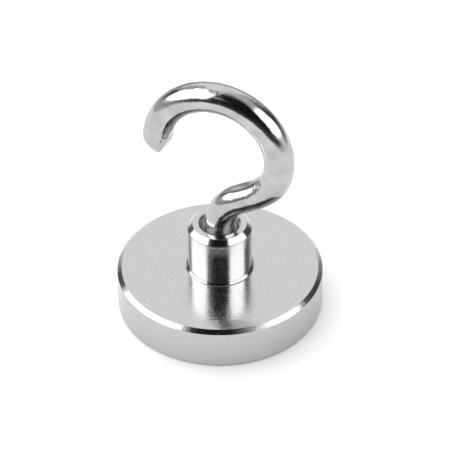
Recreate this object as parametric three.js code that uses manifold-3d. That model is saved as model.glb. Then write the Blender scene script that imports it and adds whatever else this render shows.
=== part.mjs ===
// A pot magnet with a screwed-in open hook.
//
// Millimetres, +Z up. The pot stands on its magnetic face at z = 0, with its axis on Z. The hook's
// plane is X-Z: its arm leans towards +X and its tip hangs on the -X side.

import * as THREE from 'three';
import { mergeVertices } from 'three/addons/utils/BufferGeometryUtils.js';
import Module from 'manifold-3d';

// Pot: a turned steel cup that opens downwards.
const POT_DIAMETER = 42;
const POT_HEIGHT = 9;
const POT_CHAMFER_WIDTH = 0.9;
const POT_CHAMFER_HEIGHT = 0.7;
const POT_RIM_CHAMFER = 0.4;
const POT_WALL = 2.9;
const POT_WEB = 3.6;

// Magnet, the adhesive behind it, and the resin that seals the gap around it.
const MAGNET_GAP = 1.1;
const MAGNET_CHAMFER = 0.4;
const BOND_THICKNESS = 0.35;
const RESIN_RECESS = 0.4;
const FIT_GAP = 0.1;

// Boss: a turned bush with an M6 bore, swaged over under the pot's web. Its foot flares out over the
// pot's face, and its mouth is a 45 degree countersink down to a ledge close round the wire.
const BOSS_DIAMETER = 13;
const BOSS_TOP = 20;
const BOSS_CHAMFER = 1;
const FOOT_DIAMETER = 13.7;
const FOOT_EDGE = 0.1;
const SPIGOT_DIAMETER = 9;
const SWAGE_DIAMETER = 11;
const SWAGE_DEPTH = 0.8;
const MOUTH_DIAMETER = 8.6;
const LEDGE_DIAMETER = 6.7;
const THROAT_DEPTH = 0.15;
const LEAD_IN_DEPTH = 0.8;

// M6 thread, drawn as rings of the thread's section so that the hook can turn where it stands.
const PITCH = 1;
const THREAD_RINGS = 10;
const CREST_RADIUS = 2.95;
const ROOT_RADIUS = 2.4;
const THREAD_CLEARANCE = 0.1;
const SHANK_END_CHAMFER = 0.5;
const SHANK_END_GAP = 0.3;

// Hook: one bent wire. Each bend has the radius of its centre line and the angle it turns,
// positive anticlockwise for an eye that looks along +Y.
const WIRE_DIAMETER = 6.1;
const SHANK_STRAIGHT_TOP = 19.75;
const ARM_BEND = { radius: 8.7, turn: -58.8 };
const ARM_STRAIGHT = 3.5;
const EYE_BENDS = [
  { radius: 13.9, turn: 23 },
  { radius: 3.5, turn: 13.7 },
  { radius: 12.6, turn: 106 },
  { radius: 13, turn: 102 },
];
const WIRE_THROAT_GAP = 0.1;
const JOIN_OVERLAP = 0.5;
const INSIDE_STEP = 0.1;

// The wire's end is nipped off by two flat cuts. Each crosses the end plane at its offset from the
// centre line and leans from square by its angle, both positive towards the inside of the eye.
const NIPS = [
  { offset: 0.9, lean: -39 },
  { offset: 1.8, lean: 65 },
];
const NIP_LENGTH = 11;
const NIP_DEPTH = 5;

// Fineness of the facets.
const POT_SIDES = 64;
const BOSS_SIDES = 48;
const THREAD_SIDES = 32;
const WIRE_SIDES = 20;
const WIRE_STEP = 1.5;

// Levels that several pieces share.
const webUnderside = POT_HEIGHT - POT_WEB;
const cavityRadius = POT_DIAMETER / 2 - POT_WALL;
const magnetRadius = cavityRadius - MAGNET_GAP;
const magnetTop = webUnderside - BOND_THICKNESS - 2 * FIT_GAP;
const wireRadius = WIRE_DIAMETER / 2;
const boreRadius = ROOT_RADIUS + THREAD_CLEARANCE;
const throatRadius = wireRadius + WIRE_THROAT_GAP;
const ledge = BOSS_TOP - (MOUTH_DIAMETER - LEDGE_DIAMETER) / 2;
const threadTop = ledge - THROAT_DEPTH - LEAD_IN_DEPTH;
const threadBottom = threadTop - THREAD_RINGS * PITCH;
const shankEnd = threadBottom - SHANK_END_CHAMFER;
const boreFloor = shankEnd - SHANK_END_GAP;
const wireBottom = ledge - WIRE_THROAT_GAP;

const wasm = await Module();
wasm.setup();

// A closed three.js geometry as a solid that can be joined to others or cut by them.
function toSolid(geometry) {
  geometry.deleteAttribute('normal');
  geometry.deleteAttribute('uv');
  const merged = mergeVertices(geometry, 1e-4);
  const triangles = [];
  const index = merged.index.array;
  for (let i = 0; i < index.length; i += 3) {
    const [a, b, c] = [index[i], index[i + 1], index[i + 2]];
    if (a !== b && b !== c && c !== a) triangles.push(a, b, c);
  }
  const mesh = new wasm.Mesh({
    numProp: 3,
    vertProperties: new Float32Array(merged.attributes.position.array),
    triVerts: new Uint32Array(triangles),
  });
  return new wasm.Manifold(mesh);
}

function toGeometry(solid) {
  const mesh = solid.getMesh();
  const geometry = new THREE.BufferGeometry();
  geometry.setAttribute('position', new THREE.BufferAttribute(mesh.vertProperties, 3));
  geometry.setIndex(new THREE.BufferAttribute(mesh.triVerts, 1));
  geometry.computeVertexNormals();
  return geometry;
}

// A solid of revolution about Z, from [radius, z] points that run upwards on the outside.
function turned(profile, sides) {
  const points = profile.map(([radius, z]) => new THREE.Vector2(radius, z));
  return toSolid(new THREE.LatheGeometry(points, sides).rotateX(Math.PI / 2));
}

// The zigzag of a ring thread, from its lowest root to its highest, as [radius, z] points.
function threadZigzag(rootRadius, crestRadius) {
  const points = [];
  for (let ring = 0; ring < THREAD_RINGS; ring += 1) {
    const z = threadBottom + ring * PITCH;
    points.push([rootRadius, z]);
    points.push([crestRadius, z + PITCH / 2]);
  }
  points.push([rootRadius, threadTop]);
  return points;
}

// The cup: outer wall and chamfers, then the boss's stepped hole, then the magnet's cavity.
function potShell() {
  const outer = POT_DIAMETER / 2;
  return turned(
    [
      [cavityRadius, 0],
      [outer - POT_RIM_CHAMFER, 0],
      [outer, POT_RIM_CHAMFER],
      [outer, POT_HEIGHT - POT_CHAMFER_HEIGHT],
      [outer - POT_CHAMFER_WIDTH, POT_HEIGHT],
      [SPIGOT_DIAMETER / 2 + FIT_GAP, POT_HEIGHT],
      [SPIGOT_DIAMETER / 2 + FIT_GAP, webUnderside + SWAGE_DEPTH],
      [SWAGE_DIAMETER / 2 + FIT_GAP, webUnderside + SWAGE_DEPTH],
      [SWAGE_DIAMETER / 2 + FIT_GAP, webUnderside],
      [cavityRadius, webUnderside],
      [cavityRadius, 0],
    ],
    POT_SIDES,
  );
}

function magnetDisc() {
  return turned(
    [
      [0, 0],
      [magnetRadius - MAGNET_CHAMFER, 0],
      [magnetRadius, MAGNET_CHAMFER],
      [magnetRadius, magnetTop - MAGNET_CHAMFER],
      [magnetRadius - MAGNET_CHAMFER, magnetTop],
      [0, magnetTop],
    ],
    POT_SIDES,
  );
}

// The adhesive between the magnet and the web, as wide as the magnet's flat back.
function bondLayer() {
  const radius = magnetRadius - MAGNET_CHAMFER;
  const bottom = magnetTop + FIT_GAP;
  const top = bottom + BOND_THICKNESS;
  return turned([[0, bottom], [radius, bottom], [radius, top], [0, top]], POT_SIDES);
}

// The resin that fills the gap between the magnet and the pot's wall.
function resinRing() {
  const inner = magnetRadius + FIT_GAP;
  const outer = cavityRadius - FIT_GAP;
  return turned(
    [
      [inner, RESIN_RECESS],
      [outer, RESIN_RECESS],
      [outer, magnetTop],
      [inner, magnetTop],
      [inner, RESIN_RECESS],
    ],
    POT_SIDES,
  );
}

// The boss from its swaged end up the outside to its mouth, then down the threaded bore. The foot
// flares at 45 degrees.
function threadedBoss() {
  const outer = BOSS_DIAMETER / 2;
  const spigot = SPIGOT_DIAMETER / 2;
  const swage = SWAGE_DIAMETER / 2;
  const foot = FOOT_DIAMETER / 2;
  const shoulder = POT_HEIGHT + FIT_GAP;
  const bore = threadZigzag(boreRadius, CREST_RADIUS + THREAD_CLEARANCE).reverse();
  return turned(
    [
      [0, webUnderside],
      [swage, webUnderside],
      [swage, webUnderside + SWAGE_DEPTH - FIT_GAP],
      [spigot, webUnderside + SWAGE_DEPTH - FIT_GAP],
      [spigot, shoulder],
      [foot, shoulder],
      [foot, shoulder + FOOT_EDGE],
      [outer, shoulder + FOOT_EDGE + foot - outer],
      [outer, BOSS_TOP - BOSS_CHAMFER],
      [outer - BOSS_CHAMFER, BOSS_TOP],
      [MOUTH_DIAMETER / 2, BOSS_TOP],
      [LEDGE_DIAMETER / 2, ledge],
      [throatRadius, ledge],
      [throatRadius, ledge - THROAT_DEPTH],
      ...bore,
      [boreRadius, boreFloor],
      [0, boreFloor],
    ],
    BOSS_SIDES,
  );
}

// The wire's centre line in the hook's plane: straight shank, arm, then the bends of the eye.
function wireOutline() {
  const outline = new THREE.Path();
  const at = new THREE.Vector2(0, wireBottom);
  let heading = Math.PI / 2;
  outline.moveTo(at.x, at.y);

  function straight(length) {
    at.x += length * Math.cos(heading);
    at.y += length * Math.sin(heading);
    outline.lineTo(at.x, at.y);
  }

  function bend({ radius, turn }) {
    const side = Math.sign(turn);
    const start = heading - (side * Math.PI) / 2;
    const end = start + THREE.MathUtils.degToRad(turn);
    const centreX = at.x - radius * Math.cos(start);
    const centreY = at.y - radius * Math.sin(start);
    outline.absarc(centreX, centreY, radius, start, end, side < 0);
    at.set(centreX + radius * Math.cos(end), centreY + radius * Math.sin(end));
    heading += THREE.MathUtils.degToRad(turn);
  }

  straight(SHANK_STRAIGHT_TOP - wireBottom);
  bend(ARM_BEND);
  straight(ARM_STRAIGHT);
  EYE_BENDS.forEach(bend);
  return outline;
}

// A curve in the X-Z plane that follows a flat outline, for extruding the wire along.
class WireCurve extends THREE.Curve {
  constructor(outline) {
    super();
    this.outline = outline;
  }

  getPoint(t, target = new THREE.Vector3()) {
    const point = this.outline.getPoint(t);
    return target.set(point.x, 0, point.y);
  }
}

function polygon(radius, sides) {
  const corners = [];
  for (let i = 0; i < sides; i += 1) {
    const angle = (i / sides) * 2 * Math.PI;
    corners.push(new THREE.Vector2(radius * Math.cos(angle), radius * Math.sin(angle)));
  }
  return new THREE.Shape(corners);
}

// A block whose flat face makes one of the nipping cuts at the end of the wire.
function nippingBlock(curve, { offset, lean }) {
  const tangent = curve.getTangent(1);
  const inward = new THREE.Vector3(-tangent.z, 0, tangent.x);
  const across = new THREE.Vector3().crossVectors(tangent, inward);
  const place = new THREE.Matrix4().makeBasis(inward, across, tangent);
  const block = new THREE.BoxGeometry(NIP_LENGTH, NIP_LENGTH, NIP_DEPTH);
  block.translate(0, 0, NIP_DEPTH / 2);
  block.rotateY(THREE.MathUtils.degToRad(lean));
  block.translate(offset, 0, 0);
  block.applyMatrix4(place.setPosition(curve.getPoint(1)));
  return toSolid(block);
}

// The hook: the bent wire with its nipped tip, and the ring-threaded shank.
function hook() {
  const curve = new WireCurve(wireOutline());
  const steps = Math.ceil(curve.getLength() / WIRE_STEP);
  const section = polygon(wireRadius, WIRE_SIDES);
  let wire = toSolid(new THREE.ExtrudeGeometry(section, { extrudePath: curve, steps }));
  for (const nip of NIPS) {
    wire = wire.subtract(nippingBlock(curve, nip));
  }
  const shank = turned(
    [
      [0, shankEnd],
      [ROOT_RADIUS - SHANK_END_CHAMFER, shankEnd],
      ...threadZigzag(ROOT_RADIUS, CREST_RADIUS),
      [wireRadius - INSIDE_STEP, wireBottom],
      [wireRadius - INSIDE_STEP, wireBottom + JOIN_OVERLAP],
      [0, wireBottom + JOIN_OVERLAP],
    ],
    THREAD_SIDES,
  );
  return wire.add(shank);
}

const nickelPlate = { color: 0xc9c9c6, roughness: 0.28, metalness: 1 };
const brightNickel = { color: 0xd2d2cf, roughness: 0.12, metalness: 1 };
const resin = { color: 0x24262a, roughness: 0.55, metalness: 0 };
const adhesive = { color: 0xb9b29c, roughness: 0.6, metalness: 0 };

const pieces = [
  ['pot_shell', potShell, nickelPlate],
  ['magnet_disc', magnetDisc, nickelPlate],
  ['bond_layer', bondLayer, adhesive],
  ['resin_ring', resinRing, resin],
  ['threaded_boss', threadedBoss, brightNickel],
  ['hook', hook, brightNickel],
];

const group = new THREE.Group();
for (const [name, make, look] of pieces) {
  const mesh = new THREE.Mesh(toGeometry(make()), new THREE.MeshStandardMaterial(look));
  mesh.name = name;
  group.add(mesh);
}

export default group;
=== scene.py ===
import math

import bpy
import numpy as np
from mathutils import Matrix, Vector


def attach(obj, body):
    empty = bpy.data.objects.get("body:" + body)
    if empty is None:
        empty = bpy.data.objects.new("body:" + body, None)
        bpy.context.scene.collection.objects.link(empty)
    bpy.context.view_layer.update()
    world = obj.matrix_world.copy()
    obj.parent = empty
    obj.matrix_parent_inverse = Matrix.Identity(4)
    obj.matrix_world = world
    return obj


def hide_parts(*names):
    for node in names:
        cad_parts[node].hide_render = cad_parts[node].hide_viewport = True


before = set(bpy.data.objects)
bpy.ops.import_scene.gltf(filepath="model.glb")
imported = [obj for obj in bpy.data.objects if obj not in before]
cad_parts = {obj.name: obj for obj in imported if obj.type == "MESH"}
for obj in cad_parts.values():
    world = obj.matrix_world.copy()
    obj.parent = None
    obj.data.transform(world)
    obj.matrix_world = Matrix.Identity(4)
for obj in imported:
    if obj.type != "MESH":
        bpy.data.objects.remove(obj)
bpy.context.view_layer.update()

# A pot magnet with a screwed-in open hook. Sizes are in millimetres until a mesh is made. Every piece
# shares the CAD's frame: +Z up, the magnetic face at z = 0, the pot's axis on Z, the hook in X-Z.
MM = 0.001

# The pot.
POT_RADIUS = 21
POT_HEIGHT = 9
POT_CHAMFER_WIDTH = 0.9
POT_CHAMFER_HEIGHT = 0.7
POT_CHAMFER_BOTTOM = POT_HEIGHT - POT_CHAMFER_HEIGHT
POT_RIM_CHAMFER = 0.4
CAVITY_RADIUS = 18.1
WEB_UNDERSIDE = 5.4
MAGNET_RADIUS = 17
MAGNET_CHAMFER = 0.4
MAGNET_TOP = 4.85
RESIN_RECESS = 0.4
RESIN_SAG = 0.25
FIT_GAP = 0.1

# The boss.
BOSS_RADIUS = 6.5
BOSS_TOP = 20
BOSS_CHAMFER = 1
CHAMFER_FOOT = BOSS_TOP - BOSS_CHAMFER
# The groove under the chamfer: its depth, and how far below the chamfer it starts, reaches that depth,
# leaves it and ends. At its end it is still as deep as it is far from the chamfer.
GROOVE_DEPTH = 0.09
GROOVE_START = 0.26
GROOVE_FLOOR_LOW = 0.18
GROOVE_FLOOR_HIGH = 0.08
GROOVE_END = 0.02
# The duller bands of the wall under the groove, from the top down.
COLLAR_TOP = BOSS_TOP - 1.3
COLLAR_MIDDLE = BOSS_TOP - 1.8
COLLAR_BOTTOM = BOSS_TOP - 3.7
# The foot, with its lip, and the bead that it has raised on the pot's top.
FOOT_RADIUS = 6.85
FOOT_EDGE = 0.06
FOOT_LIP = 0.04
FOOT_LIP_RISE = 0.02
SEAT_GAP = 0.03
BEAD_WIDTH = 0.24
BEAD_HEIGHT = 0.07
SPIGOT_RADIUS = 4.5
SWAGE_RADIUS = 5.5
SWAGE_DEPTH = 0.8
MOUTH_RADIUS = 4.3
LEDGE_RADIUS = 3.35
LEDGE = 19.05
THROAT_RADIUS = 3.15
THROAT_DEPTH = 0.15

# The M6 thread, as rings of its section.
PITCH = 1
THREAD_RINGS = 10
CREST_RADIUS = 2.95
ROOT_RADIUS = 2.4
THREAD_CLEARANCE = 0.1
CREST_FLAT = 0.12
THREAD_TOP = 18.1
THREAD_BOTTOM = THREAD_TOP - THREAD_RINGS * PITCH
SHANK_END = 7.6
SHANK_END_CHAMFER = 0.5
BORE_FLOOR = 7.3

# The bent wire: (length, turn in degrees) of each stretch from its foot, anticlockwise for an eye
# that looks along +Y.
WIRE_RADIUS = 3.035
WIRE_FOOT = 18.95
WIRE_STRETCHES = (
    (0.8, 0),
    (math.radians(58.8) * 8.7, -58.8),
    (3.5, 0),
    (math.radians(23) * 13.9, 23),
    (math.radians(13.7) * 3.5, 13.7),
    (math.radians(106) * 12.6, 106),
    (math.radians(102) * 13, 102),
)
# The length over which each bend is eased into the next, and the step of the centre line.
BEND_EASING = 0.8
LINE_STEP = 0.01

# The two nipping cuts at the wire's end: offset from the centre line, slope, and lean towards -Y.
NIP_CUTS = ((0.9, math.tan(math.radians(39)), 0), (1.85, -math.tan(math.radians(65)), 0.14))
# The slight rounding of the cuts' rim.
CUT_EDGE = 0.1
# The third wire_space coordinate is the distance along the wire, up to its end. From there on it is a
# mark that is past the wire's whole length: this one on the cuts' rim, and one more on the cuts.
END_MARK = 80

# How finely the wire is made: the sides of its section, the distance between its rings, and the stretch
# before the end that its rings are fitted to, so that the last one follows the cuts.
WIRE_SIDES = 128
RING_STEP = 0.15
SHOULDER_RINGS = 5
END_STRETCH = 7
END_RINGS = 45
CUT_RINGS = 30
BISECTIONS = 40

# Marks of the bending and nipping tools on the wire: distance along it, place round it in degrees
# (0 faces the inside of the eye, 90 the -Y side), half length, half width and depth.
TOOL_DENTS = (
    (43.9, 157, 0.14, 0.5, 0.035),
    (43.05, 166, 0.2, 0.25, 0.03),
    (43.4, 157, 0.2, 0.25, 0.035),
    (43.75, 148, 0.2, 0.25, 0.035),
    (44.8, 147, 0.5, 0.2, 0.025),
    (38.3, 184, 0.2, 0.2, 0.06),
    (36.0, 181, 1.5, 0.5, 0.035),
    (35.2, 176, 0.25, 0.3, 0.03),
    (12.6, 8, 3.6, 0.9, 0.13),
    (9.0, 14, 0.8, 0.5, 0.06),
    (17.0, 36, 0.4, 0.4, 0.06),
    (17.6, 44, 0.3, 0.5, 0.05),
    (62.9, 40, 0.5, 0.6, 0.05),
    (64.2, 57, 1.0, 0.22, 0.07),
    (63.0, 131, 0.18, 0.28, 0.04),
    (63.3, 122, 0.18, 0.28, 0.04),
    (63.7, 113, 0.18, 0.28, 0.04),
)
# Scuffed strips: from, to, place round the wire and spread in degrees, number of small dents.
SCUFFS = ((45.5, 53.0, 164, 5, 34), (34.0, 38.5, 186, 7, 14), (58.0, 65.5, 115, 30, 16))
SCUFF_DEPTH = 0.02
SCUFF_SIZE = 0.2

# How finely the turned pieces are made.
POT_SIDES = 256
TURNED_SIDES = 192


# Meshes ------------------------------------------------------------------------------------------


def piece(name, vertices, faces, material, body, replaced, attribute=None):
    """A smooth-shaded mesh from millimetre vertices, riding on a body in place of a CAD node."""
    mesh = bpy.data.meshes.new(name)
    mesh.from_pydata((np.asarray(vertices, float) * MM).tolist(), [], faces)
    mesh.polygons.foreach_set("use_smooth", [True] * len(mesh.polygons))
    if attribute is not None:
        layer = mesh.attributes.new("wire_space", "FLOAT_VECTOR", "POINT")
        layer.data.foreach_set("vector", np.asarray(attribute, np.float32).ravel())
    mesh.materials.append(material)
    made = bpy.data.objects.new(name, mesh)
    bpy.context.scene.collection.objects.link(made)
    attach(made, body)
    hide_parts(replaced)
    return made


def rounded(corners, steps=5, hold=0.04):
    """A profile of (radius, z, fillet) corners as points, with an arc at each corner with a fillet.
    A point held just off each end of an arc keeps the flats beside it flat in smooth shading."""
    points = []
    count = len(corners)
    for i, (r, z, fillet) in enumerate(corners):
        here = np.array((r, z), float)
        if fillet == 0:
            points.append(here)
            continue
        before = np.array(corners[i - 1][:2], float) - here
        after = np.array(corners[(i + 1) % count][:2], float) - here
        room_before, room_after = np.linalg.norm(before), np.linalg.norm(after)
        before /= room_before
        after /= room_after
        half = math.acos(max(-1.0, min(1.0, float(before @ after)))) / 2
        reach = fillet / math.tan(half)
        centre = here + (before + after) / np.linalg.norm(before + after) * fillet / math.sin(half)
        start = here + before * reach - centre
        end = here + after * reach - centre
        sweep = math.atan2(start[0] * end[1] - start[1] * end[0], float(start @ end))
        if room_before > reach + 2 * hold:
            points.append(here + before * (reach + hold))
        for step in range(steps + 1):
            a = sweep * step / steps
            turn = np.array(((math.cos(a), -math.sin(a)), (math.sin(a), math.cos(a))))
            points.append(centre + turn @ start)
        if room_after > reach + 2 * hold:
            points.append(here + after * (reach + hold))
    return points


def lathe(profile, sides, closed):
    """Vertices and faces of a profile that runs upwards on the outside, turned about Z."""
    turn = np.arange(sides) / sides * 2 * math.pi
    vertices, rows = [], []
    for r, z in profile:
        if r < 1e-6:
            rows.append([len(vertices)] * sides)
            vertices.append((0, 0, z))
        else:
            rows.append(list(range(len(vertices), len(vertices) + sides)))
            vertices.extend((r * math.cos(a), r * math.sin(a), z) for a in turn)
    faces = []
    for lower, upper in zip(rows, rows[1:] + rows[:1] if closed else rows[1:]):
        for j in range(sides):
            k = (j + 1) % sides
            ring = [lower[j], lower[k], upper[k], upper[j]]
            faces.append(list(dict.fromkeys(ring)))
    return vertices, faces


def thread_rings(root, crest):
    """(radius, z) points of the ring thread from its bottom to its top, with narrow flats."""
    points = []
    half = CREST_FLAT / 2
    for ring in range(THREAD_RINGS):
        z = THREAD_BOTTOM + ring * PITCH
        points += [(root, z - half if ring else z), (root, z + half)]
        points += [(crest, z + PITCH / 2 - half), (crest, z + PITCH / 2 + half)]
    return points + [(root, THREAD_TOP - half), (root, THREAD_TOP)]


# Node helpers ------------------------------------------------------------------------------------


def feed(tree, socket, value):
    """Link a node's output to a socket, or set the socket to a constant."""
    if isinstance(value, bpy.types.NodeSocket):
        tree.links.new(value, socket)
    else:
        socket.default_value = value


def calc(tree, operation, *values):
    node = tree.nodes.new("ShaderNodeMath")
    node.operation = operation
    for socket, value in zip(node.inputs, values):
        feed(tree, socket, value)
    return node.outputs[0]


def vector_calc(tree, operation, *values):
    node = tree.nodes.new("ShaderNodeVectorMath")
    node.operation = operation
    for socket, value in zip(node.inputs, values):
        feed(tree, socket, value)
    return node.outputs["Value" if operation in ("LENGTH", "DOT_PRODUCT") else "Vector"]


def scaled(tree, vector, factors):
    return vector_calc(tree, "MULTIPLY", vector, factors)


def ramp(tree, value, low, high, to_low=0.0, to_high=1.0):
    """A smooth step of value from low to high."""
    node = tree.nodes.new("ShaderNodeMapRange")
    node.interpolation_type = "SMOOTHSTEP"
    limits = {"From Min": low, "From Max": high, "To Min": to_low, "To Max": to_high}
    for name, given in {"Value": value, **limits}.items():
        feed(tree, node.inputs[name], given)
    return node.outputs["Result"]


def noise(tree, vector, scale, detail=2.0, rough=0.5, dimensions="3D"):
    node = tree.nodes.new("ShaderNodeTexNoise")
    node.noise_dimensions = dimensions
    feed(tree, node.inputs["W" if dimensions == "1D" else "Vector"], vector)
    node.inputs["Scale"].default_value = scale
    node.inputs["Detail"].default_value = detail
    node.inputs["Roughness"].default_value = rough
    return node.outputs[0]


def centred(tree, value):
    return calc(tree, "SUBTRACT", value, 0.5)


def blend_values(tree, share, low, high):
    return calc(tree, "MULTIPLY_ADD", share, calc(tree, "SUBTRACT", high, low), low)


def bumped(tree, height, distance, under=None):
    """The normal of a bump on top of another one. The distance is in metres."""
    node = tree.nodes.new("ShaderNodeBump")
    node.inputs["Strength"].default_value = 1
    node.inputs["Distance"].default_value = distance
    feed(tree, node.inputs["Height"], height)
    if under is not None:
        tree.links.new(under, node.inputs["Normal"])
    return node.outputs["Normal"]


def new_material(name, metallic, colour=(0.64, 0.638, 0.632, 1)):
    material = bpy.data.materials.new(name)
    material.use_nodes = True
    shader = material.node_tree.nodes["Principled BSDF"]
    shader.inputs["Metallic"].default_value = metallic
    shader.inputs["Base Color"].default_value = colour
    return material, material.node_tree, shader


def grey(tree, value):
    node = tree.nodes.new("ShaderNodeCombineColor")
    for socket in node.inputs:
        feed(tree, socket, value)
    return node.outputs[0]


def millimetres(tree):
    coordinates = tree.nodes.new("ShaderNodeTexCoord").outputs["Object"]
    return scaled(tree, coordinates, (1 / MM, 1 / MM, 1 / MM))


# Materials ---------------------------------------------------------------------------------------

ZONE_EDGE = 0.03
SMOOTHEST = 0.04


def turned_nickel(name, roughness, marks, ripple, zones):
    """Nickel plate over turned steel: lathe marks, smudges, dust and the plating's slight ripple.
    The depths of the marks and of the ripple are in metres."""
    material, tree, shader = new_material(name, 1)
    place = millimetres(tree)
    radius = vector_calc(tree, "LENGTH", scaled(tree, place, (1, 1, 0)))
    height = vector_calc(tree, "DOT_PRODUCT", place, (0, 0, 1))
    drift = calc(tree, "MULTIPLY", noise(tree, place, 0.25, 1), 0.4)
    across = calc(tree, "ADD", calc(tree, "SUBTRACT", radius, height), drift)
    fine = noise(tree, across, 3.2, 3, 0.65, "1D")
    coarse = noise(tree, across, 0.9, 2, 0.5, "1D")
    cloud = noise(tree, place, 0.35, 3, 0.6)
    grain = noise(tree, place, 3.6, 3, 0.75)
    dust = ramp(tree, noise(tree, place, 2.9, 3, 0.75), 0.63, 0.68)
    rough = calc(tree, "MULTIPLY_ADD", centred(tree, cloud), 0.1, roughness)
    shade = calc(tree, "MULTIPLY_ADD", calc(tree, "MULTIPLY", fine, cloud), 0.18, 0.62)
    depth = 1.0
    for inner, outer, bottom, top, zone_rough, zone_shade, zone_depth in zones:
        radially = calc(
            tree, "MULTIPLY",
            ramp(tree, radius, inner - ZONE_EDGE, inner + ZONE_EDGE),
            ramp(tree, radius, outer - ZONE_EDGE, outer + ZONE_EDGE, 1.0, 0.0),
        )
        upward = calc(
            tree, "MULTIPLY",
            ramp(tree, height, bottom - ZONE_EDGE, bottom + ZONE_EDGE),
            ramp(tree, height, top - ZONE_EDGE, top + ZONE_EDGE, 1.0, 0.0),
        )
        zone = calc(tree, "MULTIPLY", radially, upward)
        rough = blend_values(tree, zone, rough, zone_rough)
        shade = calc(tree, "MULTIPLY", shade, blend_values(tree, zone, 1.0, zone_shade))
        depth = blend_values(tree, zone, depth, zone_depth)
    rough = calc(tree, "MULTIPLY_ADD", centred(tree, fine), 0.1, rough)
    rough = calc(tree, "MULTIPLY_ADD", centred(tree, grain), 0.16, rough)
    rough = calc(tree, "MULTIPLY_ADD", dust, 0.25, rough)
    rough = calc(tree, "MAXIMUM", rough, SMOOTHEST)
    shade = calc(tree, "MULTIPLY_ADD", centred(tree, grain), 0.24, shade)
    shade = calc(tree, "MULTIPLY_ADD", cloud, -0.08, shade)
    shade = calc(tree, "MULTIPLY_ADD", dust, -0.05, shade)
    tree.links.new(rough, shader.inputs["Roughness"])
    tree.links.new(grey(tree, shade), shader.inputs["Base Color"])
    normal = bumped(tree, noise(tree, place, 0.5, 2, 0.5), ripple)
    normal = bumped(tree, calc(tree, "MULTIPLY_ADD", coarse, 2.0, fine), marks, normal)
    normal = bumped(tree, calc(tree, "MULTIPLY", centred(tree, grain), depth), marks, normal)
    tree.links.new(normal, shader.inputs["Normal"])
    return material


def wire_nickel(name):
    """Polished nickel over drawn wire, in wire_space, where the wire is straight: marks run along it."""
    material, tree, shader = new_material(name, 1)
    attribute = tree.nodes.new("ShaderNodeAttribute")
    attribute.attribute_name = "wire_space"
    straight = attribute.outputs["Vector"]
    drawn = noise(tree, scaled(tree, straight, (2.6, 2.6, 0.15)), 1, 3, 0.6)
    peel = noise(tree, straight, 1.1, 2, 0.5)
    slow = noise(tree, straight, 0.25, 2, 0.5)
    cloud = noise(tree, straight, 0.4, 3, 0.6)
    grain = noise(tree, straight, 3.6, 3, 0.75)
    dust = ramp(tree, noise(tree, straight, 3.3, 3, 0.75), 0.63, 0.68)
    # The sheared end: its rim, then its faces.
    along = vector_calc(tree, "DOT_PRODUCT", straight, (0, 0, 1))
    rim = ramp(tree, along, END_MARK - 0.5, END_MARK)
    face = ramp(tree, along, END_MARK + 0.1, END_MARK + 0.6)
    sheared = noise(tree, scaled(tree, straight, (2.4, 0.3, 0)), 1, 2, 0.6)
    rough = calc(tree, "MULTIPLY_ADD", centred(tree, cloud), 0.12, 0.11)
    rough = calc(tree, "MULTIPLY_ADD", centred(tree, grain), 0.14, rough)
    rough = calc(tree, "MULTIPLY_ADD", dust, 0.22, rough)
    rough = calc(tree, "MAXIMUM", rough, SMOOTHEST)
    shade = calc(tree, "MULTIPLY_ADD", drawn, 0.06, 0.54)
    shade = calc(tree, "MULTIPLY_ADD", centred(tree, grain), 0.24, shade)
    shade = calc(tree, "MULTIPLY_ADD", centred(tree, cloud), -0.22, shade)
    shade = calc(tree, "MULTIPLY_ADD", centred(tree, slow), 0.3, shade)
    # Painted shade: the rounded rim of the cut is darkened into a dark edge line.
    shade = calc(tree, "MULTIPLY", shade, calc(tree, "MULTIPLY_ADD", rim, -0.5, 1.0))
    bright_face = calc(tree, "MULTIPLY_ADD", ramp(tree, sheared, 0.42, 0.54), 0.45, 0.2)
    shade = blend_values(tree, face, shade, bright_face)
    tree.links.new(rough, shader.inputs["Roughness"])
    tree.links.new(grey(tree, shade), shader.inputs["Base Color"])
    normal = bumped(tree, slow, 1e-4)
    normal = bumped(tree, peel, 1.5e-5, normal)
    normal = bumped(tree, drawn, 6e-6, normal)
    normal = bumped(tree, calc(tree, "MULTIPLY", sheared, face), 1.5e-4, normal)
    tree.links.new(normal, shader.inputs["Normal"])
    return material


def ground_nickel(name):
    """The magnet's plated face, with the short crossing scratches of grinding and handling."""
    material, tree, shader = new_material(name, 1)
    place = millimetres(tree)
    height = noise(tree, scaled(tree, place, (0.25, 3.2, 1)), 1, 3, 0.6)
    cross = noise(tree, scaled(tree, place, (2.4, 0.3, 1)), 1, 2, 0.6)
    cloud = noise(tree, place, 0.3, 3, 0.6)
    rough = calc(tree, "MULTIPLY_ADD", cloud, 0.2, 0.18)
    tree.links.new(rough, shader.inputs["Roughness"])
    shade = blend_values(tree, height, 0.62, 0.54)
    tree.links.new(grey(tree, shade), shader.inputs["Base Color"])
    normal = bumped(tree, calc(tree, "MULTIPLY_ADD", cross, 0.5, height), 3e-6)
    tree.links.new(normal, shader.inputs["Normal"])
    return material


def cast_resin(name):
    """Black epoxy, poured: a gloss that pools unevenly, with fine dust."""
    material, tree, shader = new_material(name, 0)
    place = millimetres(tree)
    cloud = noise(tree, place, 0.5, 3, 0.6)
    dust = ramp(tree, noise(tree, place, 4, 2, 0.7), 0.62, 0.75)
    tree.links.new(grey(tree, calc(tree, "MULTIPLY_ADD", dust, 0.03, 0.018)), shader.inputs["Base Color"])
    tree.links.new(calc(tree, "MULTIPLY_ADD", cloud, 0.3, 0.25), shader.inputs["Roughness"])
    tree.links.new(bumped(tree, noise(tree, place, 1.2, 3, 0.5), 6e-5), shader.inputs["Normal"])
    return material


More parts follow.
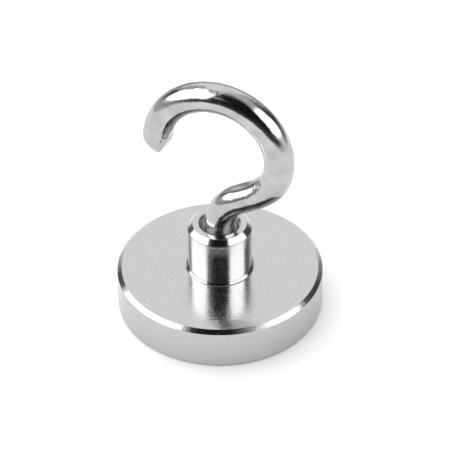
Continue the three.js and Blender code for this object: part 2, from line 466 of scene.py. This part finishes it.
def cured_adhesive(name):
    """The amber-grey adhesive behind the magnet."""
    material, tree, shader = new_material(name, 0)
    place = millimetres(tree)
    cloud = noise(tree, place, 0.9, 4, 0.6)
    colour = tree.nodes.new("ShaderNodeMix")
    colour.data_type = "RGBA"
    tree.links.new(cloud, colour.inputs["Factor"])
    colour.inputs["A"].default_value = (0.42, 0.37, 0.25, 1)
    colour.inputs["B"].default_value = (0.6, 0.55, 0.42, 1)
    tree.links.new(colour.outputs["Result"], shader.inputs["Base Color"])
    tree.links.new(calc(tree, "MULTIPLY_ADD", cloud, 0.3, 0.4), shader.inputs["Roughness"])
    tree.links.new(bumped(tree, cloud, 4e-5), shader.inputs["Normal"])
    return material


# Turned surfaces with a finish of their own, some also darkened by painted shade: inner and outer radius,
# bottom and top, roughness, shade and depth of grain. Each reaches a little past the surface that it
# covers.
PAST_POT = POT_RADIUS + 1
PAST_POT_TOP = POT_HEIGHT + 1
PAST_BOSS = BOSS_RADIUS + 1
PAST_BOSS_TOP = BOSS_TOP + 1
FOOT_TOP = POT_HEIGHT + 0.5
IN_GROOVE = BOSS_RADIUS - 0.03
POT_ZONES = (
    (POT_RADIUS - POT_CHAMFER_WIDTH, PAST_POT, POT_CHAMFER_BOTTOM, PAST_POT_TOP, 0.07, 1.0, 2.4),
)
BOSS_ZONES = (
    (BOSS_RADIUS - BOSS_CHAMFER, PAST_BOSS, CHAMFER_FOOT, PAST_BOSS_TOP, 0.06, 1.0, 1.6),
    # The mouth: rougher, and darkened by painted shade in the hollow of the countersink and bore.
    (0, MOUTH_RADIUS, 0, PAST_BOSS_TOP, 0.26, 0.72, 1.0),
    (MOUTH_RADIUS, PAST_BOSS, COLLAR_MIDDLE, COLLAR_TOP, 0.25, 1.0, 1.3),
    (MOUTH_RADIUS, PAST_BOSS, COLLAR_BOTTOM, COLLAR_MIDDLE, 0.22, 1.0, 2.0),
    # The foot: polished, and darkened by painted shade where it meets the pot's top.
    (BOSS_RADIUS, PAST_BOSS, POT_HEIGHT, FOOT_TOP, 0.07, 0.75, 1.0),
    # The groove under the chamfer: rougher, and darkened by painted shade in the groove.
    (MOUTH_RADIUS, IN_GROOVE, COLLAR_TOP, CHAMFER_FOOT, 0.3, 0.3, 1.0),
)
pot_nickel = turned_nickel("pot_nickel", 0.16, 6e-6, 2e-5, POT_ZONES)
boss_nickel = turned_nickel("boss_nickel", 0.14, 4e-6, 2e-5, BOSS_ZONES)
hook_nickel = wire_nickel("hook_nickel")
magnet_nickel = ground_nickel("magnet_nickel")
black_resin = cast_resin("black_resin")
amber_adhesive = cured_adhesive("amber_adhesive")


# The pot and what is in it -----------------------------------------------------------------------


def make_pot_shell():
    profile = rounded([
        (CAVITY_RADIUS, 0, 0.15),
        (POT_RADIUS - POT_RIM_CHAMFER, 0, 0.1),
        (POT_RADIUS, POT_RIM_CHAMFER, 0.15),
        (POT_RADIUS, POT_CHAMFER_BOTTOM, 0.06),
        (POT_RADIUS - POT_CHAMFER_WIDTH, POT_HEIGHT, 0.08),
        (FOOT_RADIUS + BEAD_WIDTH, POT_HEIGHT, 0.03),
        (FOOT_RADIUS + BEAD_WIDTH / 2, POT_HEIGHT + BEAD_HEIGHT, 0.05),
        (FOOT_RADIUS + SEAT_GAP, POT_HEIGHT, 0.02),
        (SPIGOT_RADIUS + FIT_GAP, POT_HEIGHT, 0.05),
        (SPIGOT_RADIUS + FIT_GAP, WEB_UNDERSIDE + SWAGE_DEPTH, 0),
        (SWAGE_RADIUS + FIT_GAP, WEB_UNDERSIDE + SWAGE_DEPTH, 0),
        (SWAGE_RADIUS + FIT_GAP, WEB_UNDERSIDE, 0),
        (CAVITY_RADIUS, WEB_UNDERSIDE, 0.3),
    ])
    vertices, faces = lathe(profile, POT_SIDES, True)
    return piece("pot_shell_turned", vertices, faces, pot_nickel, "pot", "pot_shell")


def make_boss():
    shoulder = POT_HEIGHT + SEAT_GAP
    edge_top = shoulder + FOOT_EDGE
    lip = edge_top + FOOT_LIP_RISE
    inner_foot = FOOT_RADIUS - FOOT_LIP
    groove = BOSS_RADIUS - GROOVE_DEPTH
    bore = thread_rings(ROOT_RADIUS + THREAD_CLEARANCE, CREST_RADIUS + THREAD_CLEARANCE)[::-1]
    profile = rounded([
        (0, WEB_UNDERSIDE, 0),
        (SWAGE_RADIUS, WEB_UNDERSIDE, 0.2),
        (SWAGE_RADIUS, WEB_UNDERSIDE + SWAGE_DEPTH - FIT_GAP, 0),
        (SPIGOT_RADIUS, WEB_UNDERSIDE + SWAGE_DEPTH - FIT_GAP, 0),
        (SPIGOT_RADIUS, shoulder, 0),
        (FOOT_RADIUS, shoulder, 0.02),
        (FOOT_RADIUS, edge_top, 0.02),
        (inner_foot, lip, 0.02),
        (BOSS_RADIUS, lip + inner_foot - BOSS_RADIUS, 0.12),
        (BOSS_RADIUS, CHAMFER_FOOT - GROOVE_START, 0.03),
        (groove, CHAMFER_FOOT - GROOVE_FLOOR_LOW, 0),
        (groove, CHAMFER_FOOT - GROOVE_FLOOR_HIGH, 0),
        (BOSS_RADIUS - GROOVE_END, CHAMFER_FOOT - GROOVE_END, 0.03),
        (BOSS_RADIUS - BOSS_CHAMFER, BOSS_TOP, 0.08),
        (MOUTH_RADIUS, BOSS_TOP, 0.1),
        (LEDGE_RADIUS, LEDGE, 0.12),
        (THROAT_RADIUS, LEDGE, 0.05),
        (THROAT_RADIUS, LEDGE - THROAT_DEPTH, 0),
        *[(r, z, 0) for r, z in bore],
        (ROOT_RADIUS + THREAD_CLEARANCE, BORE_FLOOR, 0),
        (0, BORE_FLOOR, 0),
    ])
    vertices, faces = lathe(profile, TURNED_SIDES, False)
    return piece("boss_turned", vertices, faces, boss_nickel, "pot", "threaded_boss")


def make_magnet():
    profile = rounded([
        (0, 0, 0),
        (MAGNET_RADIUS - MAGNET_CHAMFER, 0, 0.12),
        (MAGNET_RADIUS, MAGNET_CHAMFER, 0.12),
        (MAGNET_RADIUS, MAGNET_TOP - MAGNET_CHAMFER, 0.12),
        (MAGNET_RADIUS - MAGNET_CHAMFER, MAGNET_TOP, 0.12),
        (0, MAGNET_TOP, 0),
    ])
    vertices, faces = lathe(profile, TURNED_SIDES, False)
    return piece("magnet_plated", vertices, faces, magnet_nickel, "pot", "magnet_disc")


def make_resin():
    """The resin, whose free face sags between the magnet and the wall that it wets."""
    steps = 13
    inner, outer = MAGNET_RADIUS + FIT_GAP, CAVITY_RADIUS - FIT_GAP
    middle, half = (inner + outer) / 2, (outer - inner) / 2
    across = np.linspace(-1, 1, steps)
    face = [(middle + half * t, RESIN_RECESS + RESIN_SAG * (1 - t ** 4)) for t in across]
    profile = [(r, z, 0) for r, z in face] + [(outer, MAGNET_TOP, 0), (inner, MAGNET_TOP, 0)]
    vertices, faces = lathe(rounded(profile), TURNED_SIDES, True)
    return piece("resin_cast", vertices, faces, black_resin, "pot", "resin_ring")


# The hook ----------------------------------------------------------------------------------------


def wire_line():
    """Distance, x, z and heading along the centre line, with each bend eased into the next."""
    length = sum(stretch for stretch, turn in WIRE_STRETCHES)
    s = np.arange(0, length + LINE_STEP / 2, LINE_STEP)
    curvature = np.zeros_like(s)
    start = 0.0
    for stretch, turn in WIRE_STRETCHES:
        curvature[(s >= start) & (s < start + stretch)] = math.radians(turn) / stretch
        start += stretch
    width = int(BEND_EASING / LINE_STEP)
    window = np.hanning(width + 2)[1:-1]
    padded = np.pad(curvature, width, mode="edge")
    curvature = np.convolve(padded, window / window.sum(), mode="same")[width:-width]
    heading = math.pi / 2 + np.concatenate(([0], np.cumsum(curvature[:-1] * LINE_STEP)))
    x = np.concatenate(([0], np.cumsum(np.cos(heading[:-1]) * LINE_STEP)))
    z = WIRE_FOOT + np.concatenate(([0], np.cumsum(np.sin(heading[:-1]) * LINE_STEP)))
    return s, x, z, heading


LINE = wire_line()
WIRE_LENGTH = LINE[0][-1]


def wire_points(s, around, radius):
    """Points on the wire's surface. Below its foot the line goes straight down."""
    x = np.interp(s, LINE[0], LINE[1])
    z = np.interp(s, LINE[0], LINE[2]) + np.minimum(s, 0)
    heading = np.interp(s, LINE[0], LINE[3])
    out = radius * np.cos(around)
    px = x - out * np.sin(heading)
    pz = z + out * np.cos(heading)
    return np.stack(np.broadcast_arrays(px, -radius * np.sin(around), pz), -1)


def all_marks():
    """The tool dents and the scuffs' small dents: place along and round, half sizes and depth."""
    marks = [(along, math.radians(place), *sizes) for along, place, *sizes in TOOL_DENTS]
    dice = np.random.default_rng(5)
    for start, end, middle, spread, count in SCUFFS:
        for _ in range(count):
            size = SCUFF_SIZE * dice.uniform(0.7, 1.8, 2)
            place = (dice.uniform(start, end), math.radians(dice.normal(middle, spread)))
            marks.append((*place, *size, SCUFF_DEPTH * dice.uniform(0.4, 1)))
    return marks


MARKS = all_marks()


def dented(s, around):
    """The wire's radius, less what the tools have pressed into it."""
    radius = np.full_like(around, WIRE_RADIUS)
    for along, place, half_length, half_width, depth in MARKS:
        aside = np.angle(np.exp(1j * (around - place))) * WIRE_RADIUS / half_width
        reach = aside ** 2 + ((s - along) / half_length) ** 2
        radius = radius - depth * np.exp(-reach ** 1.5)
    return radius


def cut_height(u, v):
    """How far past the end plane the wire reaches, with u towards the inside of the eye, v towards -Y."""
    heights = [slope * (u + lean * v - offset) for offset, slope, lean in NIP_CUTS]
    return np.minimum.reduce([*heights, np.zeros_like(u)])


def end_coordinates(points):
    """How far points are inward, across and ahead of the centre line's end."""
    heading = LINE[3][-1]
    ahead = np.array((math.cos(heading), 0, math.sin(heading)))
    inward = np.array((-math.sin(heading), 0, math.cos(heading)))
    offset = points - np.array((LINE[1][-1], 0, LINE[2][-1]))
    return offset @ inward, -offset[..., 1], offset @ ahead


def from_end(u, v, w):
    """The points that are u inward, v across and w ahead of the centre line's end."""
    heading = LINE[3][-1]
    x = LINE[1][-1] - u * math.sin(heading) + w * math.cos(heading)
    z = LINE[2][-1] + u * math.cos(heading) + w * math.sin(heading)
    return np.stack((x, -v, z), -1)


def wire_end(around):
    """Where each line along the dented wire meets the cuts."""
    low = np.full(len(around), WIRE_LENGTH - END_STRETCH + 1.0)
    high = np.full(len(around), WIRE_LENGTH)
    for _ in range(BISECTIONS):
        middle = (low + high) / 2
        u, v, w = end_coordinates(wire_points(middle, around, dented(middle, around)))
        inside = w < cut_height(u, v)
        low, high = np.where(inside, middle, low), np.where(inside, high, middle)
    return low


def make_hook():
    around = np.arange(WIRE_SIDES) / WIRE_SIDES * 2 * math.pi
    rings, spaces = [], []

    def add_ring(s, radius):
        s = np.broadcast_to(s, (WIRE_SIDES,)).astype(float)
        radius = np.broadcast_to(radius, (WIRE_SIDES,)).astype(float)
        rings.append(wire_points(s, around, radius))
        spaces.append(np.stack((radius * np.cos(around), radius * np.sin(around), s), -1))

    shank = [(ROOT_RADIUS - SHANK_END_CHAMFER, SHANK_END), *thread_rings(ROOT_RADIUS, CREST_RADIUS)]
    for radius, z in shank:
        add_ring(z - WIRE_FOOT, radius)
    for share in np.linspace(1 / SHOULDER_RINGS, 1, SHOULDER_RINGS):
        radius = ROOT_RADIUS + (WIRE_RADIUS - ROOT_RADIUS) * share
        add_ring((THREAD_TOP - WIRE_FOOT) * (1 - share), radius)

    plain_end = WIRE_LENGTH - END_STRETCH
    for s in np.arange(RING_STEP, plain_end, RING_STEP):
        add_ring(s, dented(s, around))
    end = wire_end(around)
    for share in np.linspace(0, 1, END_RINGS):
        s = plain_end + (end - CUT_EDGE - plain_end) * share
        add_ring(s, dented(s, around))
    rim = 0.3 * CUT_EDGE
    add_ring(end - rim, dented(end, around) - rim)
    spaces[-1][:, 2] = END_MARK

    u, v, _ = end_coordinates(wire_points(end, around, dented(end, around)))
    for share in np.linspace(1 - CUT_EDGE / WIRE_RADIUS, 0.02, CUT_RINGS):
        rings.append(from_end(u * share, v * share, cut_height(u * share, v * share)))
        spaces.append(np.stack((u * share, v * share, np.full(WIRE_SIDES, END_MARK + 1)), -1))

    faces = []
    for start in range(0, (len(rings) - 1) * WIRE_SIDES, WIRE_SIDES):
        above = start + WIRE_SIDES
        for j in range(WIRE_SIDES):
            k = (j + 1) % WIRE_SIDES
            faces.append([start + j, start + k, above + k, above + j])
    faces.append(list(range(WIRE_SIDES))[::-1])
    last = (len(rings) - 1) * WIRE_SIDES
    faces.append(list(range(last, last + WIRE_SIDES)))
    vertices, space = np.concatenate(rings), np.concatenate(spaces)
    return piece("hook_wire", vertices, faces, hook_nickel, "hook", "hook", space)


make_pot_shell()
make_boss()
make_magnet()
make_resin()
make_hook()
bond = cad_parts["bond_layer"]
bond.data.materials.clear()
bond.data.materials.append(amber_adhesive)


# Studio ------------------------------------------------------------------------------------------

CAMERA_AZIMUTH = math.radians(21.2)
CAMERA_ELEVATION = math.radians(38.933)
CAMERA_DISTANCE = 485.62
CAMERA_LENS = 192.56
CAMERA_SENSOR = 36
CAMERA_ROLL = math.radians(-0.318)
AIM_ASIDE = 1.078
AIM_HEIGHT = 19.385
# The camera's clipping distances, in metres.
CLIP_START = 0.01
CLIP_END = 20

# The studio that the metal mirrors: a plain base, and patches, each laid over the ones before it. A patch
# has a name, its azimuth from the camera's side, positive to its right, elevation, half extents,
# softness, brightness, and how far it leans to the right for each degree that it goes up.
STUDIO_BASE = 0.58
STUDIO_PATCHES = (
    ("back_left_wall", -155, 48, 34, 30, 0.4, 1.1, 0),
    ("back_wall", 180, 40, 32, 34, 0.45, 0.98, 0),
    ("back_table", 178, 8, 42, 6, 0.5, 0.32, 0),
    ("left_gap", -136, 40, 11, 17, 0.5, 0.5, 0),
    ("right_gap", 118, 35, 15, 15, 0.5, 0.2, 0),
    ("front_ceiling", 0, 88, 68, 27, 0.35, 0.2, 0),
    ("left_stand", -129, 14, 11, 12, 0.5, 0.1, 0),
    ("right_table", 104, 6, 14, 10, 0.5, 0.2, 0),
    ("right_stand", 118, 18, 14, 16, 0.45, 0.07, -0.7),
    ("horizon", 10, 0, 102, 4, 0.5, 0.25, 0),
    ("camera_side", -8, 34, 46, 42, 0.28, 0.012, 0),
    ("camera_table", -8, 1.5, 52, 8, 0.3, 0.05, 0),
    ("right_glow", 74, 1, 16, 9, 0.5, 0.8, 0),
    ("left_spill", -60, 37, 28, 7, 0.5, 0.4, 0),
    ("left_softbox", -84, 35.5, 37, 26, 0.13, 2.7, -0.15),
    ("right_softbox", 68, 31, 31.5, 22, 0.13, 2.6, -0.1),
)
# What the floor and other matt surfaces are lit by: a dome that is brighter towards the key light.
DOME_LEVEL = 1.0
DOME_SLANT = 1.0
KEY_AZIMUTH = math.radians(-117)
KEY_ELEVATION = math.radians(29)
# What the camera sees behind the floor, and the floor's whiteness to the camera and in the metal.
BACKDROP = 1.05
FLOOR_SEEN = 0.96
FLOOR_MIRRORED = 0.77
FLOOR_RADIUS = 260
FLOOR_SIDES = 96


def reach_along(tree, angle, half):
    """The fourth power of an angle as a share of the patch's half extent in degrees."""
    share = calc(tree, "DIVIDE", angle, math.radians(half))
    return calc(tree, "POWER", calc(tree, "ABSOLUTE", share), 4.0)


def patch_mask(tree, direction, azimuth, elevation, half_azimuth, half_elevation, softness, lean):
    """1 where the direction is in the patch, which is a rectangle with round corners and soft edges."""
    turn = tree.nodes.new("ShaderNodeVectorRotate")
    turn.rotation_type = "Z_AXIS"
    turn.inputs["Angle"].default_value = -(CAMERA_AZIMUTH + math.radians(azimuth))
    tree.links.new(direction, turn.inputs["Vector"])
    parts = tree.nodes.new("ShaderNodeSeparateXYZ")
    tree.links.new(turn.outputs["Vector"], parts.inputs["Vector"])
    x, y, z = parts.outputs
    up = calc(tree, "SUBTRACT", calc(tree, "ARCSINE", z), math.radians(elevation))
    aside = calc(tree, "ARCTAN2", x, calc(tree, "MULTIPLY", y, -1.0))
    aside = calc(tree, "MULTIPLY_ADD", up, -lean, aside)
    aside_reach = reach_along(tree, aside, half_azimuth)
    reach = calc(tree, "ADD", aside_reach, reach_along(tree, up, half_elevation))
    return ramp(tree, calc(tree, "POWER", reach, 0.25), 1 - softness, 1 + softness, 1.0, 0.0)


def make_world():
    world = bpy.data.worlds.new("studio")
    world.use_nodes = True
    tree = world.node_tree
    bpy.context.scene.world = world
    direction = tree.nodes.new("ShaderNodeTexCoord").outputs["Generated"]
    level = STUDIO_BASE
    for _, *outline, brightness, lean in STUDIO_PATCHES:
        mask = patch_mask(tree, direction, *outline, lean)
        level = blend_values(tree, mask, level, brightness)
    key = KEY_AZIMUTH + CAMERA_AZIMUTH
    towards_key = (
        math.sin(key) * math.cos(KEY_ELEVATION),
        -math.cos(key) * math.cos(KEY_ELEVATION),
        math.sin(KEY_ELEVATION),
    )
    slant = vector_calc(tree, "DOT_PRODUCT", direction, towards_key)
    dome = calc(tree, "MULTIPLY_ADD", slant, DOME_SLANT, DOME_LEVEL)
    path = tree.nodes.new("ShaderNodeLightPath")
    level = blend_values(tree, path.outputs["Is Diffuse Ray"], level, dome)
    level = blend_values(tree, path.outputs["Is Camera Ray"], level, BACKDROP)
    background = tree.nodes["Background"]
    tree.links.new(level, background.inputs["Strength"])
    background.inputs["Color"].default_value = (1, 1, 1, 1)
    world.cycles.sampling_method = "NONE"


def make_floor():
    turn = np.arange(FLOOR_SIDES) / FLOOR_SIDES * 2 * math.pi
    ring = np.stack((np.cos(turn), np.sin(turn), 0 * turn), -1) * FLOOR_RADIUS * MM
    mesh = bpy.data.meshes.new("floor")
    mesh.from_pydata(ring.tolist(), [], [list(range(FLOOR_SIDES))])
    material, tree, shader = new_material("floor_paper", 0)
    seen = tree.nodes.new("ShaderNodeLightPath").outputs["Is Camera Ray"]
    white = blend_values(tree, seen, FLOOR_MIRRORED, FLOOR_SEEN)
    tree.links.new(grey(tree, white), shader.inputs["Base Color"])
    shader.inputs["Roughness"].default_value = 0.9
    shader.inputs["Specular IOR Level"].default_value = 0.1
    mesh.materials.append(material)
    floor = bpy.data.objects.new("floor", mesh)
    bpy.context.scene.collection.objects.link(floor)


def make_camera():
    camera = bpy.data.objects.new("camera", bpy.data.cameras.new("camera"))
    camera.data.lens = CAMERA_LENS
    camera.data.sensor_width = CAMERA_SENSOR
    back = Vector((
        math.sin(CAMERA_AZIMUTH) * math.cos(CAMERA_ELEVATION),
        -math.cos(CAMERA_AZIMUTH) * math.cos(CAMERA_ELEVATION),
        math.sin(CAMERA_ELEVATION),
    ))
    aim = Vector((
        AIM_ASIDE * math.cos(CAMERA_AZIMUTH),
        AIM_ASIDE * math.sin(CAMERA_AZIMUTH),
        AIM_HEIGHT,
    ))
    camera.rotation_mode = "QUATERNION"
    roll = Matrix.Rotation(CAMERA_ROLL, 3, "Z").to_quaternion()
    camera.rotation_quaternion = (-back).to_track_quat("-Z", "Y") @ roll
    camera.location = (aim + back * CAMERA_DISTANCE) * MM
    camera.data.clip_start = CLIP_START
    camera.data.clip_end = CLIP_END
    bpy.context.scene.collection.objects.link(camera)
    bpy.context.scene.camera = camera


make_world()
make_floor()
make_camera()
bpy.context.scene.view_settings.view_transform = "Standard"
